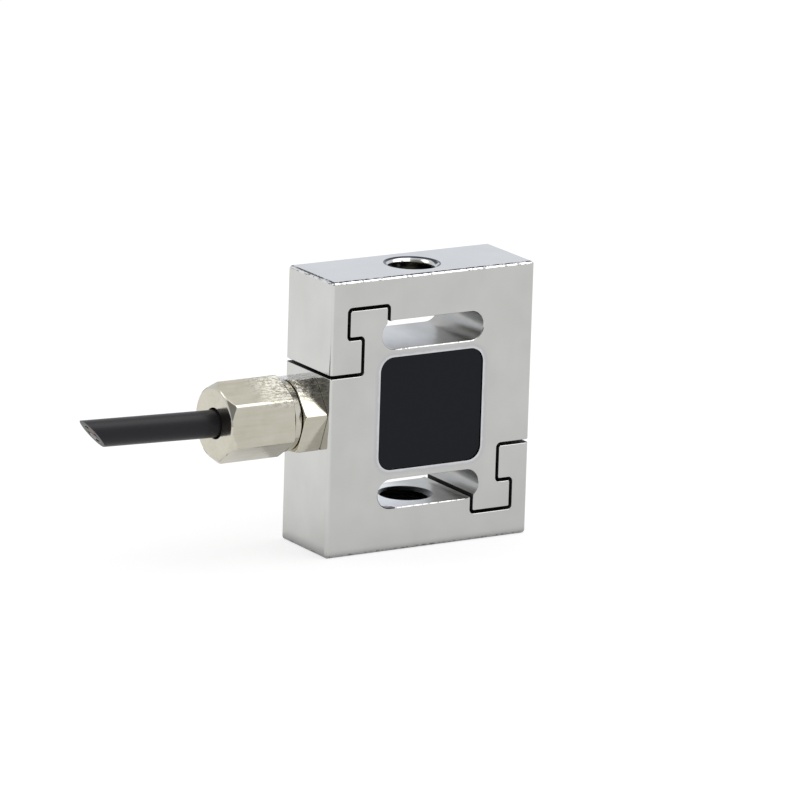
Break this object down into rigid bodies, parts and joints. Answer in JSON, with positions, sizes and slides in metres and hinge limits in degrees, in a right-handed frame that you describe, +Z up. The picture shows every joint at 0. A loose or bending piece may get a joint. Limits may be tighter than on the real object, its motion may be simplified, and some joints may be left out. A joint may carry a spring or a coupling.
{
  "type": "s type load cell",
  "caption": "Miniature S beam load cell: a wire-cut nickel-plated steel block with overload stops, a sealed gauge window, threaded ends and a hexagonal cable gland with a cable stub.",
  "frame": {"origin": "centre of the bottom face, on the load axis that both threads share", "axes": "+Z up along the load axis, +X to the right along the wide face, -Y out of the front; the cable leaves along -X"},
  "size_m": [0.053, 0.0094, 0.0305],
  "materials": {
    "nickel_plated_steel": "electroless nickel plate, fine satin",
    "black_cover": "smooth black, satin",
    "nickel_plated_brass": "bright nickel plate over turned and milled brass",
    "bare_brass": "turned brass",
    "black_rubber": "moulded rubber",
    "cable_sheath": "extruded black sheath, satin",
    "tinned_copper": "tinned copper wire",
    "filler_yarn": "undyed yarn",
    "board_laminate": "glass-epoxy laminate with tinned pads",
    "chip_ceramic": "ceramic chip with tinned ends",
    "insulation_red": "coloured insulation",
    "insulation_green": "coloured insulation",
    "insulation_black": "coloured insulation",
    "insulation_white": "coloured insulation",
    "gauge_film": "amber polyimide film with metal foil",
    "soft_coating": "soft clear sealant",
    "enamelled_copper": "enamelled copper wire"
  },
  "bodies": {
    "root": {"balance_resistor": "chip_ceramic", "cable_filler": "filler_yarn", "cable_jacket": "cable_sheath", "cable_shield": "tinned_copper", "conductor_black": "tinned_copper", "conductor_green": "tinned_copper", "conductor_red": "tinned_copper", "conductor_white": "tinned_copper", "core_black": "insulation_black", "core_green": "insulation_green", "core_red": "insulation_red", "core_white": "insulation_white", "front_cover": "black_cover", "gland_body": "nickel_plated_brass", "gland_clamp_ring": "bare_brass", "gland_nut": "nickel_plated_brass", "gland_o_ring": "black_rubber", "gland_seal": "black_rubber", "lower_left_coating": "soft_coating", "lower_left_gauge": "gauge_film", "lower_left_lead_front": "enamelled_copper", "lower_left_lead_rear": "enamelled_copper", "lower_right_coating": "soft_coating", "lower_right_gauge": "gauge_film", "lower_right_lead_front": "enamelled_copper", "lower_right_lead_rear": "enamelled_copper", "rear_cover": "black_cover", "s_beam_body": "nickel_plated_steel", "span_resistor_lower": "chip_ceramic", "span_resistor_upper": "chip_ceramic", "terminal_board": "board_laminate", "upper_left_coating": "soft_coating", "upper_left_gauge": "gauge_film", "upper_left_lead_front": "enamelled_copper", "upper_left_lead_rear": "enamelled_copper", "upper_right_coating": "soft_coating", "upper_right_gauge": "gauge_film", "upper_right_lead_front": "enamelled_copper", "upper_right_lead_rear": "enamelled_copper"}
  },
  "joints": []
}
